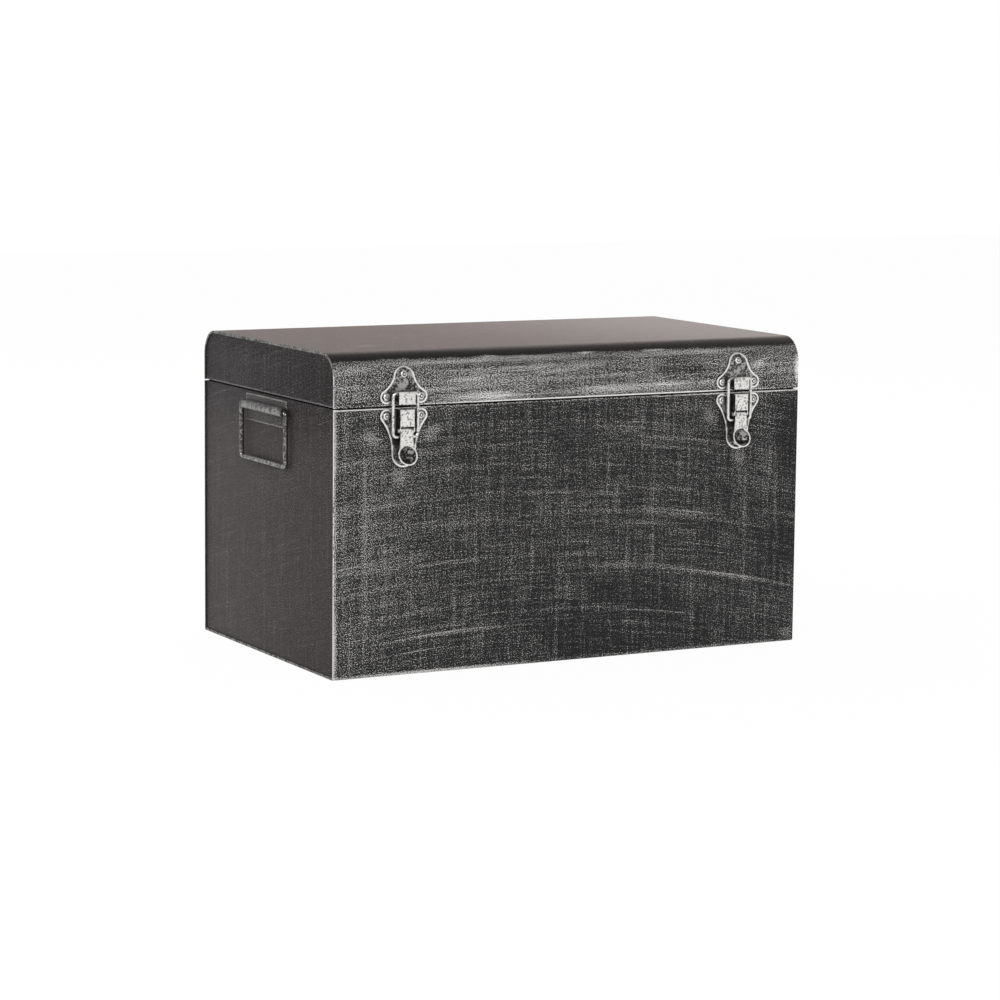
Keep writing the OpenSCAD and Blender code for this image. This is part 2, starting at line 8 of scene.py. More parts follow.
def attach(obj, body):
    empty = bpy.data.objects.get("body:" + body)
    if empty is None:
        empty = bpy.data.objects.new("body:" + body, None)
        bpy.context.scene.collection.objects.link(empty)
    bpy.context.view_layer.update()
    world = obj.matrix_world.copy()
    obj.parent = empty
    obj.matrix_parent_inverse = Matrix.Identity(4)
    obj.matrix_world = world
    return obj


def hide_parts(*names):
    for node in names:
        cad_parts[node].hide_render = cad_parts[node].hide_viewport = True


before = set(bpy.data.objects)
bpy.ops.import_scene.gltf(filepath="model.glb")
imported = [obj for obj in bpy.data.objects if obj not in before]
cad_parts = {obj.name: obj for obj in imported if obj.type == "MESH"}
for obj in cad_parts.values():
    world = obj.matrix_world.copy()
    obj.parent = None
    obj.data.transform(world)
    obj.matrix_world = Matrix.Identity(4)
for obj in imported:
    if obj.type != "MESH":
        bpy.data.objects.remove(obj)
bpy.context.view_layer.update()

# Camera: it stands in front of the trunk and to its left, a little above the lid,
# with the long lens and the slight roll of the photograph.
CAMERA_AT = Vector((-1.4964, -2.8007, 0.5676))
AZIMUTH, ELEVATION, ROLL = (math.radians(angle) for angle in (-28.138, 7.759, 0.569))
LENS_MM = 116.99
SENSOR_MM = 36
towards_camera = Vector((
    math.sin(AZIMUTH) * math.cos(ELEVATION),
    -math.cos(AZIMUTH) * math.cos(ELEVATION),
    math.sin(ELEVATION),
))
level_right = Vector((0, 0, 1)).cross(towards_camera).normalized()
level_up = towards_camera.cross(level_right)
right = level_right * math.cos(ROLL) + level_up * math.sin(ROLL)
up = level_up * math.cos(ROLL) - level_right * math.sin(ROLL)
camera_data = bpy.data.cameras.new("camera")
camera_data.lens = LENS_MM
camera_data.sensor_width = SENSOR_MM
camera = bpy.data.objects.new("camera", camera_data)
camera_turn = Matrix((right, up, towards_camera)).transposed().to_4x4()
camera.matrix_world = Matrix.Translation(CAMERA_AT) @ camera_turn
bpy.context.collection.objects.link(camera)
bpy.context.scene.camera = camera
bpy.context.scene.view_settings.view_transform = "Standard"


# Studio: a white floor and backdrop in even light. The camera, metal and glass see the
# background as white, and the floor keeps a faint shadow of the trunk.
FLOOR_HALF = 6.0
FLOOR_PAINT = (0.92, 0.92, 0.92, 1)
FLOOR_SHOWN_WHITE = 0.97
WHITE = (1, 1, 1, 1)
STUDIO_LIGHT = 0.62
# What shiny metal sees of the sky: where it fades on the way up, and from what to what
GLOSS_FADES = (0.25, 0.85)
GLOSS_SEES = (0.9, 0.3)
# Name, where it hangs, what it points at, width and depth, watts
LAMPS = (
    ("key_lamp", (-1.6, -2.4, 2.3), (0, 0, 0.15), (1.6, 1.2), 38),
    ("handle_lamp", (-2.3, 1.1, 1.5), (-0.25, 0, 0.2), (0.5, 0.5), 20),
    ("back_lamp", (0.6, 2.4, 2.0), (0, 0, 0.25), (2.4, 1.2), 20),
)


def fill(tree, socket, value):
    """Gives a socket a plain value, or links it to the socket that is handed in."""
    if isinstance(value, bpy.types.NodeSocket):
        tree.links.new(value, socket)
    else:
        socket.default_value = value


def add(tree, kind, **values):
    """A new shader node, with its settings and its sockets filled in by name."""
    made = tree.nodes.new("ShaderNode" + kind)
    for name, value in values.items():
        if hasattr(made, name):
            setattr(made, name, value)
        else:
            fill(tree, made.inputs[name.replace("_", " ")], value)
    return made


def maths(tree, operation, first, second=0.0):
    made = add(tree, "Math", operation=operation)
    fill(tree, made.inputs[0], first)
    fill(tree, made.inputs[1], second)
    return made.outputs[0]


def plus(tree, first, second):
    return maths(tree, "ADD", first, second)


def minus(tree, first, second):
    return maths(tree, "SUBTRACT", first, second)


def times(tree, first, second):
    return maths(tree, "MULTIPLY", first, second)


def higher(tree, first, second):
    return maths(tree, "MAXIMUM", first, second)


def split(tree, place):
    return add(tree, "SeparateXYZ", Vector=place).outputs


def between(tree, value, low, high, to_low=0.0, to_high=1.0):
    """Goes smoothly from to_low to to_high while the value goes from low to high."""
    return add(tree, "MapRange", interpolation_type="SMOOTHSTEP", Value=value, From_Min=low,
               From_Max=high, To_Min=to_low, To_Max=to_high).outputs[0]


def new_material(name):
    material = bpy.data.materials.new(name)
    material.use_nodes = True
    material.node_tree.nodes.clear()
    return material, material.node_tree


def show(tree, shader):
    tree.links.new(shader, add(tree, "OutputMaterial").inputs["Surface"])


floor_paint, tree = new_material("white_floor")
rays = add(tree, "LightPath").outputs
mirror_rays = higher(tree, rays["Is Glossy Ray"], rays["Is Transmission Ray"])
seen = higher(tree, rays["Is Camera Ray"], mirror_rays)
mixed = add(tree, "MixShader", Fac=times(tree, seen, FLOOR_SHOWN_WHITE))
tree.links.new(add(tree, "BsdfDiffuse", Color=FLOOR_PAINT).outputs[0], mixed.inputs[1])
tree.links.new(add(tree, "Emission", Color=WHITE, Strength=1.0).outputs[0], mixed.inputs[2])
show(tree, mixed.outputs[0])

work = bmesh.new()
bmesh.ops.create_grid(work, x_segments=1, y_segments=1, size=FLOOR_HALF)
floor_mesh = bpy.data.meshes.new("floor")
work.to_mesh(floor_mesh)
work.free()
floor_mesh.materials.append(floor_paint)
floor = bpy.data.objects.new("floor", floor_mesh)
bpy.context.collection.objects.link(floor)

studio = bpy.data.worlds.new("studio")
studio.use_nodes = True
tree = studio.node_tree
tree.nodes.clear()
rays = add(tree, "LightPath").outputs
straight = higher(tree, rays["Is Camera Ray"], rays["Is Transmission Ray"])
overhead = split(tree, add(tree, "TexCoord").outputs["Generated"])["Z"]
mirrored = times(tree, rays["Is Glossy Ray"], between(tree, overhead, *GLOSS_FADES, *GLOSS_SEES))
spread = times(tree, minus(tree, 1.0, rays["Is Glossy Ray"]), STUDIO_LIGHT)
strength = higher(tree, straight, plus(tree, mirrored, spread))
sky = add(tree, "Background", Color=WHITE, Strength=strength).outputs[0]
tree.links.new(sky, add(tree, "OutputWorld").inputs["Surface"])
bpy.context.scene.world = studio

for name, at, aim, size, power in LAMPS:
    data = bpy.data.lights.new(name, "AREA")
    data.shape = "RECTANGLE"
    data.size, data.size_y = size
    data.energy = power
    lamp = bpy.data.objects.new(name, data)
    lamp_turn = (Vector(aim) - Vector(at)).to_track_quat("-Z", "Y").to_matrix().to_4x4()
    lamp.matrix_world = Matrix.Translation(at) @ lamp_turn
    bpy.context.collection.objects.link(lamp)


# Body: one sheet of steel bent into front, bottom and back, with a rim turned in at each
# end and a hem along the seam. Its charcoal paint is rubbed back by hand, so the bare
# silver shows as fine grain, in long strokes and along the edges.
PAINT = (0.0135, 0.0130, 0.0133, 1)
INSIDE_DARK = (0.016, 0.0155, 0.016, 1)
INSIDE_LIGHT = (0.024, 0.023, 0.0235, 1)
BARE_STEEL = (0.54, 0.53, 0.52, 1)
EDGE_STEEL = (0.80, 0.79, 0.77, 1)
LIP_STEEL = (0.21, 0.205, 0.20, 1)
WARM_HAZE = (0.95, 0.60, 0.45, 1)
HALF_DEPTH = 0.15
BODY_BEND = 0.0025
LIP_X = 0.2495
SHEET_EASE = 0.0004
# A point inside: faces that look towards it are the inside of the sheet
BODY_MIDDLE = Vector((0, 0, 0.12))
OUTSIDE, EDGE, INSIDE = range(3)
WELD_WITHIN = 1e-6
FLAT_WITHIN = math.radians(0.5)
EASED_ABOVE = math.radians(35)
SMOOTH_BELOW = math.radians(40)
SIDEWAYS = 0.7
ENDS_MAPPED_AT = 5
# Noise in steps per metre: the paint's specks, and the strokes of the rubbing pad
SPECKS = 1050
LEVEL_STROKES = (26, 900, 1)
UPRIGHT_STROKES = (850, 24, 1)
PAINT_PEEL = 420
# Stretches of noise values that become nothing to full
SPECK_NOISE = (0.31, 0.69)
STROKE_NOISE = (0.34, 0.66)
CLOUD_NOISE = (0.35, 0.65)
CHIP_NOISE = (0.38, 0.62)
BAND_NOISE = (0.48, 0.72)
# Share of a rubbed patch's radius that is rubbed in full
RUB_CORE = 0.15
BODY_COVER = 0.015
# Heights over which the rub of the seam's edge and of the bottom edge comes in
BODY_SEAM_Z = (0.2476, 0.2485)
FOOT_Z = (0.0042, 0.0018)
# Rubbed places on the front: middle x and z, half width, half height, strength and, where
# there is one, a turn in degrees
BODY_RUBS = (
    (-0.250, 0.140, 0.170, 0.260, 0.095),
    (-0.214, 0.130, 0.014, 0.125, 0.070),
    (-0.186, 0.120, 0.006, 0.080, 0.030),
    (-0.183, 0.184, 0.011, 0.016, 0.200),
    (-0.212, 0.221, 0.018, 0.010, 0.230, -20),
    (-0.152, 0.224, 0.018, 0.009, 0.260, 30),
    (0.150, 0.226, 0.014, 0.010, 0.260, -50),
    (0.116, 0.236, 0.050, 0.010, 0.120),
    (0.080, 0.215, 0.100, 0.024, 0.040),
    (0.183, 0.187, 0.010, 0.016, 0.240),
    (0.184, 0.160, 0.010, 0.050, 0.070),
    (0.216, 0.150, 0.011, 0.100, 0.065),
    (0.240, 0.060, 0.012, 0.050, 0.050),
    (0.242, 0.009, 0.011, 0.008, 0.220),
    (0.050, 0.030, 0.190, 0.070, -0.075),
    (0.240, 0.205, 0.020, 0.070, -0.110),
    (0.228, 0.100, 0.045, 0.080, -0.080),
    (-0.249, 0.222, 0.0045, 0.045, 0.450),
    (-0.249, 0.030, 0.0042, 0.055, 0.450),
    (-0.2495, 0.125, 0.0030, 0.190, 0.450),
)
SEAM_RUBS = (
    (-0.240, 0.249, 0.115, 0.050, 1.300),
    (0.210, 0.249, 0.150, 0.050, 0.800),
)
SEAM_RUB = 0.2
FOOT_RUBS = (
    (-0.150, 0.002, 0.150, 0.050, 0.800),
    (0.120, 0.002, 0.200, 0.050, 0.250),
)
# Long strokes of the rubbing pad, which swing round a far point below the trunk:
# middle along the stroke, middle across it, half length, half width, strength
SWING_AT = (-0.06, -1.22)
SWING_R = 1.3
BODY_STROKES = (
    (0.170, 0.147, 0.075, 0.006, 0.130),
    (0.238, 0.0915, 0.105, 0.0035, 0.260),
    (0.130, 0.094, 0.100, 0.0040, 0.080),
    (-0.075, 0.0385, 0.130, 0.0030, 0.200),
    (0.160, 0.0500, 0.090, 0.0022, 0.110),
    (0.140, 0.0290, 0.080, 0.0018, 0.100),
    (-0.140, 0.1135, 0.095, 0.0080, 0.075),
    (-0.140, 0.1680, 0.095, 0.0110, 0.080),
    (-0.030, 0.1900, 0.060, 0.0050, 0.060),
    (0.020, 0.0880, 0.070, 0.0030, 0.060),
    (-0.160, 0.0750, 0.060, 0.0040, 0.050),
    (0.300, 0.160, 0.040, 0.0030, 0.110),
    (-0.075, 0.0393, 0.085, 0.0008, 0.420),
    (-0.060, 0.0372, 0.075, 0.0007, 0.300),
    (-0.110, 0.0258, 0.045, 0.0007, 0.420),
    (0.225, 0.0925, 0.070, 0.0009, 0.320),
    (0.180, 0.1485, 0.050, 0.0010, 0.260),
    (0.150, 0.0505, 0.055, 0.0008, 0.280),
    (0.205, 0.1180, 0.040, 0.0008, 0.260),
    (-0.165, 0.1150, 0.060, 0.0009, 0.240),
)
# Worn runs of the front's edges, like the rubbed places
EDGE_RUNS = (
    (-0.250, 0.250, 0.100, 0.0012, 0.75),
    (0.180, 0.2494, 0.110, 0.0010, 0.35),
    (0.020, 0.2508, 0.210, 0.0011, 0.75),
    (-0.250, 0.225, 0.004, 0.080, 0.60),
    (-0.250, 0.030, 0.004, 0.090, 0.60),
    (-0.250, 0.125, 0.004, 0.230, 0.45),
    (-0.150, 0.000, 0.180, 0.008, 0.55),
    (-0.250, 0.285, 0.004, 0.030, 0.20),
    (0.250, 0.270, 0.004, 0.024, 0.80),
)
# The worn edges: the front's y, the rims' x and y, the wear down the rims with painted shade at
# their back, the lid's hem
FRONT_Y = (-0.1465, -0.1485)
RIM_X = (0.2475, 0.2488)
RIM_Y = (-0.1488, -0.1478)
RIM_WEAR_AND_SHADE = (0.1490, 0.1450, -0.15, 0.36)
LID_HEM_Z = (0.2498, 0.2504, 0.2520, 0.2530)
HEM_WEAR = 0.3
EDGE_WEAR = 0.16


def on_piece(tree):
    return add(tree, "TexCoord").outputs["Object"]


def on_sheet(tree):
    return add(tree, "UVMap", uv_map="sheet").outputs[0]


def grain(tree, place, scale, stretch=(1, 1, 1), detail=2.0, roughness=0.5):
    stretched = add(tree, "Mapping", Vector=place, Scale=stretch).outputs[0]
    return add(tree, "TexNoise", Vector=stretched, Scale=scale, Detail=detail,
               Roughness=roughness).outputs[0]


def blended(tree, share, first, second):
    made = add(tree, "Mix", data_type="RGBA")
    for number, value in ((0, share), (6, first), (7, second)):
        fill(tree, made.inputs[number], value)
    return made.outputs[2]


def summed(tree, values):
    """Adds sockets, and plain numbers after the first."""
    total = values[0]
    for value in values[1:]:
        total = plus(tree, total, value)
    return total


def band(tree, value, starts, full, still_full, ends):
    """One between full and still_full, and nothing before starts and past ends."""
    return times(tree, between(tree, value, starts, full), between(tree, value, ends, still_full))


def rub(tree, place, x, z, half_x, half_z, strength, turn=0):
    """A soft oval patch: strength at its middle, nothing from its edge outwards."""
    local = add(tree, "Mapping", vector_type="TEXTURE", Vector=place, Location=(x, z, 0),
                Rotation=(0, 0, math.radians(turn)), Scale=(half_x, half_z, 1)).outputs[0]
    length = add(tree, "VectorMath", operation="LENGTH")
    tree.links.new(local, length.inputs[0])
    return between(tree, length.outputs["Value"], RUB_CORE, 1.0, strength, 0.0)


def rubs(tree, place, rows):
    return [rub(tree, place, *row) for row in rows]


def swung(tree, place):
    """Sheet coordinates turned into the way along a swinging stroke and the way across it."""
    parts = split(tree, place)
    across = minus(tree, parts[0], SWING_AT[0])
    above = minus(tree, parts[1], SWING_AT[1])
    squares = plus(tree, times(tree, across, across), times(tree, above, above))
    along = times(tree, maths(tree, "ARCTAN2", across, above), SWING_R)
    out = plus(tree, maths(tree, "SQRT", squares), SWING_AT[1])
    return add(tree, "CombineXYZ", X=along, Y=out).outputs[0]


def bare_share(tree, sheet, strokes, cover, level, upright, soft):
    """How much steel shows at each point: the highest specks of the paint are rubbed
    through, as many as cover says, with more along the level and upright strokes."""
    specks = between(tree, grain(tree, sheet, SPECKS, detail=0.6), *SPECK_NOISE)
    along = grain(tree, strokes, 1, LEVEL_STROKES, 2, 0.6)
    along = times(tree, between(tree, along, *STROKE_NOISE, -0.5, 0.5), level)
    risen = grain(tree, sheet, 1, UPRIGHT_STROKES, 2, 0.6)
    risen = times(tree, between(tree, risen, *STROKE_NOISE, -0.5, 0.5), upright)
    over = minus(tree, summed(tree, [specks, cover, along, risen]), 1.0)
    return between(tree, over, -soft, soft), specks


def rubbed_paint(tree, bare, specks, paint, steel, matt=0.46, gloss=0.15, haze=0.0):
    """Satin paint with steel where it is rubbed through; haze is a warm sheen over both."""
    rough = summed(tree, [times(tree, bare, -0.10), times(tree, specks, 0.06), matt])
    bump = add(tree, "Bump", Strength=0.22, Distance=0.0002, Height=specks).outputs[0]
    shader = add(tree, "BsdfPrincipled", Base_Color=blended(tree, bare, paint, steel),
                 Metallic=times(tree, bare, 0.9), Roughness=rough, Normal=bump,
                 Specular_IOR_Level=gloss, Sheen_Weight=haze, Sheen_Tint=WARM_HAZE,
                 Sheen_Roughness=0.4)
    show(tree, shader.outputs[0])


body_paint, tree = new_material("rubbed_body_sheet")
sheet = on_sheet(tree)
strokes = swung(tree, sheet)
at = split(tree, on_piece(tree))
clouds = grain(tree, sheet, 16, (1, 1.6, 1), 3)
level_bands = grain(tree, strokes, 1, (5, 150, 1), 3, 0.6)
upright_bands = grain(tree, sheet, 1, (140, 5, 1), 3, 0.6)
cover = [between(tree, clouds, *CLOUD_NOISE, -0.022, 0.022),
         between(tree, level_bands, *BAND_NOISE, -0.01, 0.15),
         between(tree, upright_bands, *BAND_NOISE, -0.01, 0.13)]
cover += rubs(tree, sheet, BODY_RUBS) + rubs(tree, strokes, BODY_STROKES)
at_seam = between(tree, at["Z"], *BODY_SEAM_Z)
at_foot = between(tree, at["Z"], *FOOT_Z)
cover += [times(tree, at_seam, summed(tree, rubs(tree, sheet, SEAM_RUBS) + [SEAM_RUB])),
          times(tree, at_foot, summed(tree, rubs(tree, sheet, FOOT_RUBS)))]
cover = plus(tree, summed(tree, cover), BODY_COVER)
bare, specks = bare_share(tree, sheet, strokes, cover, level=0.17, upright=0.15, soft=0.205)
rubbed_paint(tree, bare, specks, PAINT, blended(tree, at_seam, BARE_STEEL, EDGE_STEEL))

# The rounded strips along the edges: silver where hands and cloth rub them most.
edge_paint, tree = new_material("worn_sheet_edge")
place = on_piece(tree)
at = split(tree, place)
front_view = add(tree, "CombineXYZ", X=at["X"], Y=at["Z"]).outputs[0]
runs = times(tree, summed(tree, rubs(tree, front_view, EDGE_RUNS)),
             between(tree, at["Y"], *FRONT_Y))
lips = times(tree, between(tree, maths(tree, "ABSOLUTE", at["X"]), *RIM_X),
             between(tree, at["Y"], *RIM_Y))
# The rims' back edge stays dark: less wear there, and partly painted shade.
on_lips = times(tree, lips, between(tree, at["Y"], *RIM_WEAR_AND_SHADE))
side_seam = times(tree, times(tree, band(tree, at["Z"], *LID_HEM_Z), lips), HEM_WEAR)
worn = summed(tree, [runs, on_lips, side_seam, EDGE_WEAR])
coarse = grain(tree, place, 190, detail=3, roughness=0.7)
fine = grain(tree, place, 700, detail=1)
broken = plus(tree, times(tree, coarse, 0.6), times(tree, fine, 0.4))
chipped = between(tree, broken, *CHIP_NOISE)
bare = between(tree, minus(tree, plus(tree, chipped, worn), 1.0), -0.18, 0.18)
rubbed_paint(tree, bare, chipped, PAINT, blended(tree, lips, EDGE_STEEL, LIP_STEEL), matt=0.42)

inside_paint, tree = new_material("inside_paint")
place = on_piece(tree)
peel = grain(tree, place, PAINT_PEEL, detail=2)
clouds = between(tree, grain(tree, place, 11, detail=3), *CLOUD_NOISE)
bump = add(tree, "Bump", Strength=0.3, Distance=0.0003, Height=peel).outputs[0]
shader = add(tree, "BsdfPrincipled", Base_Color=blended(tree, clouds, INSIDE_DARK, INSIDE_LIGHT),
             Normal=bump, Specular_IOR_Level=0.2,
             Roughness=plus(tree, times(tree, peel, 0.12), 0.5))
show(tree, shader.outputs[0])


def copied(node):
    """A merged copy of a CAD node's mesh, ready to be worked on."""
    work = bmesh.new()
    work.from_mesh(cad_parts[node].data)
    bmesh.ops.remove_doubles(work, verts=work.verts, dist=WELD_WITHIN)
    bmesh.ops.dissolve_limit(work, angle_limit=FLAT_WITHIN, verts=work.verts, edges=work.edges)
    for face in work.faces:
        face.material_index = 0
    return work


def ease_edges(work, width):
    """Rounds the sharp edges over and gives back the strips."""
    sharp = [edge for edge in work.edges
             if len(edge.link_faces) == 2 and edge.calc_face_angle() > EASED_ABOVE]
    made = bmesh.ops.bevel(work, geom=sharp, offset=width, offset_type="OFFSET", segments=2,
                           profile=0.5, affect="EDGES", material=-1, clamp_overlap=True)
    return [face for face in made["faces"] if face.is_valid]


def finished(work, name, body, slot, node, *materials):
    """Turns the worked mesh into the piece that stands for the CAD node."""
    mesh = bpy.data.meshes.new(name)
    for face in work.faces:
        face.smooth = True
    work.to_mesh(mesh)
    work.free()
    mesh.set_sharp_from_angle(angle=SMOOTH_BELOW)
    for material in materials:
        mesh.materials.append(material)
    piece = bpy.data.objects.new(name, mesh)
    bpy.context.collection.objects.link(piece)
    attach(piece, body)
    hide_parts(node)


def sheet_map(work, bend, top=0.0):
    """The sheet laid flat, in metres: x, and the length from the seam round the bends.
    The faces that look left and right are mapped by y and z, off to one side."""
    layer = work.loops.layers.uv.new("sheet")
    start = top - bend if top else bend
    way = 1 if top else -1
    flat = HALF_DEPTH - bend
    for face in work.faces:
        for loop in face.loops:
            at = loop.vert.co
            if abs(face.normal.x) > SIDEWAYS:
                loop[layer].uv = (at.y + math.copysign(ENDS_MAPPED_AT, at.x), at.z)
                continue
            past = (at.z - start) * way
            if past <= 0:
                length = past if at.y < 0 else bend * math.pi + 2 * flat - past
            elif abs(at.y) <= flat:
                length = bend * math.pi / 2 + at.y + flat
            else:
                turn = math.atan2(past, abs(at.y) - flat)
                length = bend * turn if at.y < 0 else bend * (math.pi - turn) + 2 * flat
            loop[layer].uv = (at.x, start + way * length)


def dress_sheet(work, inner_point, strips):
    """Sorts the faces into outside, rounded edges with the rims' faces, and inside."""
    for face in work.faces:
        if face.normal.dot(face.calc_center_median() - inner_point) < 0:
            face.material_index = INSIDE
    for face in strips:
        if face.material_index == OUTSIDE:
            face.material_index = EDGE
    for face in work.faces:
        on_lip = abs(face.normal.x) > SIDEWAYS and abs(face.calc_center_median().x) > LIP_X
        if on_lip and face.material_index == OUTSIDE:
            face.material_index = EDGE


work = copied("body_wrap")
strips = ease_edges(work, SHEET_EASE)
sheet_map(work, BODY_BEND)
dress_sheet(work, BODY_MIDDLE, strips)
finished(work, "body_wrap_sheet", "body", "wrap_sheet", "body_wrap",
         body_paint, edge_paint, inside_paint)


# Lid: one sheet rolled over the front and back edges and rimmed like the body. Its
# front is rubbed hardest; the rounding keeps its dark satin paint, and the top a warm
# brown paint lightened towards the right as painted light.
LID_BEND = 0.024
LID_TOP = 0.3
LID_MIDDLE = Vector((0, 0, 0.2))
TOP_MIDDLE = LID_TOP - LID_BEND + LID_BEND * math.pi / 2 + HALF_DEPTH - LID_BEND
LID_PAINT = (0.0125, 0.012, 0.0125, 1)
TOP_PAINT = (0.060, 0.043, 0.0385, 1)
LID_STEEL = (0.66, 0.65, 0.635, 1)
HARD_RUBBED_STEEL = (0.88, 0.87, 0.85, 1)
LID_COVER = 0.235
LID_SOFT = 0.19
LID_SEAM_Z = (0.2524, 0.2515)
LID_SEAM_RUB = (0.030, 0.252, 0.235, 0.050, 1.400)
# Lengths up the sheet where the rubbing runs out, with its wavering, and the top comes in
RUB_ENDS = (0.2945, 0.2985)
RUB_WAVERS = 0.004
TOP_COMES = (0.3025, 0.3120)
TOP_COVER = 0.08
# Changes from left to right: x from, x to, value there, value there
STREAKS_ON_LID = (-0.20, -0.05, 0.10, 0.15)
PAINTED_LIGHT_ON_TOP = (-0.22, 0.25, 1.0, 1.15)
DULL_ON_TOP = (-0.10, 0.25, 0.07, -0.16)
HARD_RUB = (0.30, 0.75)
# Rubbed places on the lid's front and on its top, like those of the body
LID_RUBS = (
    (-0.100, 0.2560, 0.070, 0.0055, 0.40),
    (0.060, 0.2590, 0.130, 0.0050, 0.16),
    (0.105, 0.2600, 0.030, 0.0035, 0.18),
    (-0.090, 0.2905, 0.190, 0.0055, 0.26),
    (0.130, 0.2910, 0.150, 0.0050, 0.18),
    (0.118, 0.2745, 0.045, 0.0120, -0.20),
    (0.040, 0.2850, 0.160, 0.0060, -0.10),
    (-0.060, 0.2700, 0.090, 0.0060, 0.08),
    (0.206, 0.2770, 0.016, 0.0070, 0.25, 25),
    (0.235, 0.2640, 0.012, 0.0140, 0.08),
    (-0.225, 0.2530, 0.035, 0.0045, -0.22),
    (-0.230, 0.2700, 0.025, 0.0150, -0.06),
    (-0.085, 0.2958, 0.026, 0.0035, 1.10),
    (-0.180, 0.2955, 0.045, 0.0035, 0.40),
    (0.012, 0.2955, 0.018, 0.0036, 1.05),
    (0.088, 0.2957, 0.022, 0.0042, 0.95),
    (0.150, 0.2600, 0.022, 0.0040, 0.24),
    (-0.010, 0.2780, 0.050, 0.0030, 0.22, 4),
    (0.040, 0.2710, 0.040, 0.0022, 0.20, 3),
    (-0.100, 0.2740, 0.050, 0.0025, 0.22, 3),
    (-0.140, 0.2640, 0.040, 0.0022, 0.18, 2),
    (0.2490, 0.2700, 0.005, 0.0220, 0.60),
    (0.200, 0.2525, 0.050, 0.0030, -0.10),
)
TOP_RUBS = (
    (-0.185, 0.360, 0.030, 0.016, 0.10, 35),
    (-0.215, 0.335, 0.016, 0.010, 0.08, 20),
)
lid_paint, tree = new_material("rubbed_lid_sheet")
sheet = on_sheet(tree)
from_middle = maths(tree, "ABSOLUTE", minus(tree, split(tree, sheet)["Y"], TOP_MIDDLE))
height = minus(tree, TOP_MIDDLE, from_middle)
at = split(tree, on_piece(tree))
clouds = grain(tree, sheet, 18, (1, 1.8, 1), 3)
level_bands = grain(tree, sheet, 1, (7, 150, 1), 2)
at_seam = between(tree, at["Z"], *LID_SEAM_Z)
cover = [between(tree, clouds, *CLOUD_NOISE, -0.05, 0.05),
         between(tree, level_bands, 0.42, 0.70, -0.04, 0.16),
         times(tree, at_seam, rub(tree, sheet, *LID_SEAM_RUB))]
cover += rubs(tree, sheet, LID_RUBS)
cover = plus(tree, summed(tree, cover), LID_COVER + LID_SOFT)
wavering = times(tree, grain(tree, sheet, 1, (60, 60, 1), 2), RUB_WAVERS)
cover = times(tree, cover, between(tree, plus(tree, height, wavering), *RUB_ENDS, 1.0, 0.0))
on_top = between(tree, height, *TOP_COMES)
top_marks = plus(tree, summed(tree, rubs(tree, sheet, TOP_RUBS)), TOP_COVER)
cover = minus(tree, plus(tree, cover, times(tree, top_marks, on_top)), LID_SOFT)
streaky = between(tree, at["X"], *STREAKS_ON_LID)
bare, specks = bare_share(tree, sheet, sheet, cover, level=streaky, upright=0.14, soft=LID_SOFT)
brushed = between(tree, grain(tree, sheet, 1, (6, 90, 1), 3), 0.3, 0.7, 0.85, 1.08)
# The top's warm brown paint is lightened towards the right as painted light.
painted_light_on_top = times(tree, times(tree, on_top, brushed), between(tree, at["X"], *PAINTED_LIGHT_ON_TOP))
dull_top = times(tree, on_top, between(tree, at["X"], *DULL_ON_TOP))
brightest = higher(tree, at_seam, between(tree, cover, *HARD_RUB))
rubbed_paint(tree, bare, specks, blended(tree, painted_light_on_top, LID_PAINT, TOP_PAINT),
             blended(tree, brightest, LID_STEEL, HARD_RUBBED_STEEL),
             matt=plus(tree, dull_top, 0.44), haze=0.12)

work = copied("lid_wrap")
strips = ease_edges(work, SHEET_EASE)
sheet_map(work, LID_BEND, LID_TOP)
dress_sheet(work, LID_MIDDLE, strips)
finished(work, "lid_wrap_sheet", "lid", "wrap_sheet", "lid_wrap",
         lid_paint, edge_paint, inside_paint)


# End panels: flat sheets set behind the rims, with a smoother, warmer paint that is only
# lightly rubbed, with a few faint strokes across them.
END_PAINT = (0.036, 0.0285, 0.0295, 1)
LID_END_PAINT = (0.0095, 0.0075, 0.0078, 1)
END_STEEL = (0.26, 0.245, 0.245, 1)
END_EASE = 0.0003
END_SLANT = math.radians(14)
END_BAND_NOISE = (0.52, 0.78)
END_COVER = -0.05
# Heights where the worn line along the seam begins and ends, and where the paint darkens
END_SEAM_Z = (0.2500, 0.2504, 0.2519, 0.2528)
END_SEAM_RUB = 0.50
END_DARKENS = (0.19, 0.26)
# Rubbed places, like those of the body, with y in place of x
END_RUBS = (
    (-0.045, 0.180, 0.030, 0.035, 0.05),
    (0.000, 0.160, 0.060, 0.010, 0.05, 12),
    (0.040, 0.075, 0.060, 0.004, 0.06, 12),
    (-0.020, 0.050, 0.080, 0.030, 0.03),
)
# Body it rides on, bend, top and inner point of its sheet
END_SHEETS = (
    ("body", BODY_BEND, 0.0, BODY_MIDDLE),
    ("lid", LID_BEND, LID_TOP, Vector((0, 0, 0.275))),
)
end_paint, tree = new_material("smooth_end_sheet")
sheet = on_sheet(tree)
at = split(tree, on_piece(tree))
slanted = add(tree, "Mapping", Vector=sheet, Rotation=(0, 0, END_SLANT)).outputs[0]
level_bands = grain(tree, slanted, 1, (6, 300, 1), 3, 0.6)
upright_bands = grain(tree, sheet, 1, (200, 5, 1), 3, 0.6)
side_view = add(tree, "CombineXYZ", X=at["Y"], Y=at["Z"]).outputs[0]
cover = [between(tree, level_bands, *END_BAND_NOISE, 0.0, 0.18),
         between(tree, upright_bands, *END_BAND_NOISE, 0.0, 0.18)]
cover += rubs(tree, side_view, END_RUBS)
cover += [times(tree, band(tree, at["Z"], *END_SEAM_Z), END_SEAM_RUB), END_COVER]
bare, specks = bare_share(tree, sheet, slanted, summed(tree, cover),
                          level=0.08, upright=0.14, soft=0.34)
